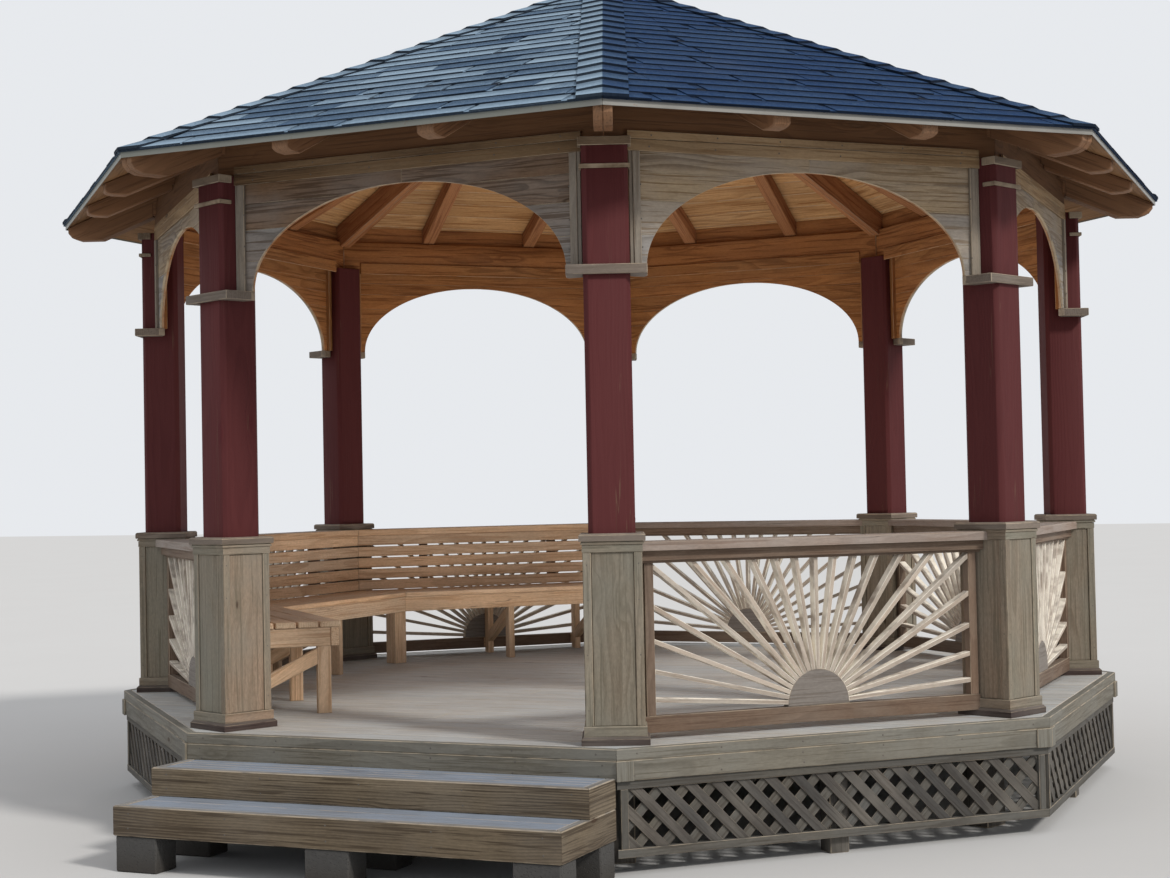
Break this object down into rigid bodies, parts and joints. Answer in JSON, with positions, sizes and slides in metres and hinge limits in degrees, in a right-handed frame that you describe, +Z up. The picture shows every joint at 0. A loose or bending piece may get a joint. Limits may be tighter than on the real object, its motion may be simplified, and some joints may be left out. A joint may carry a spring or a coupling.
{
  "type": "garden gazebo",
  "caption": "Open octagonal timber gazebo with hipped shingle roof, arched panels, sunburst rails, corner bench, lattice skirt and box steps.",
  "frame": {"origin": "centre of the octagon on the ground plane, at the middle of the bottom face of the centre pier", "axes": "+Z up; the entrance and steps face -Y, so +Y points to the back of the building; +X is to the right of someone facing the back"},
  "size_m": [5.438, 5.679, 4.2765],
  "materials": {
    "red_stain": "opaque barn red stain on sawn timber",
    "treated_timber": "pale greenish treated softwood",
    "cedar_trim": "planed cedar, bare",
    "panel_boards": "weathered softwood boards",
    "roof_timber": "warm orange softwood, bare",
    "deck_planks": "planed deck planks, lightly weathered",
    "slate_shingles": "granule faced asphalt shingles, dark slate blue",
    "edge_metal": "pale painted sheet metal",
    "grey_block": "plain cast block"
  },
  "bodies": {
    "root": {"apex_cap": "slate_shingles", "arch_panel_back": "panel_boards", "arch_panel_back_left": "panel_boards", "arch_panel_back_right": "panel_boards", "arch_panel_front": "panel_boards", "arch_panel_front_left": "panel_boards", "arch_panel_front_right": "panel_boards", "arch_panel_left": "panel_boards", "arch_panel_right": "panel_boards", "bench_back_battens": "cedar_trim", "bench_backs": "cedar_trim", "bench_corner_legs": "cedar_trim", "bench_frames": "cedar_trim", "bench_seats": "cedar_trim", "centre_pier": "treated_timber", "corner_covers": "treated_timber", "corner_piers": "treated_timber", "deck_floor": "deck_planks", "drip_edge": "edge_metal", "eave_blocking": "roof_timber", "floor_joists": "treated_timber", "header_boards": "panel_boards", "hip_caps": "slate_shingles", "hip_rafters": "roof_timber", "jack_rafters": "roof_timber", "lattice_back": "treated_timber", "lattice_back_left": "treated_timber", "lattice_back_right": "treated_timber", "lattice_front_left": "treated_timber", "lattice_front_right": "treated_timber", "lattice_left": "treated_timber", "lattice_right": "treated_timber", "pedestal_caps": "cedar_trim", "pedestal_feet": "cedar_trim", "pedestals": "treated_timber", "post_collars": "panel_boards", "post_head_bands": "panel_boards", "posts": "red_stain", "rail_caps": "cedar_trim", "rim_boards_lower": "treated_timber", "rim_boards_upper": "treated_timber", "ring_beam": "roof_timber", "roof_boards": "roof_timber", "roof_hub_block": "roof_timber", "roof_shingles": "slate_shingles", "side_piers": "treated_timber", "step_feet": "grey_block", "step_lower": "treated_timber", "step_upper": "treated_timber", "subrails": "cedar_trim", "sunburst_back": "cedar_trim", "sunburst_back_left": "cedar_trim", "sunburst_back_right": "cedar_trim", "sunburst_front_left": "cedar_trim", "sunburst_front_right": "cedar_trim", "sunburst_left": "cedar_trim", "sunburst_right": "cedar_trim"}
  },
  "joints": []
}
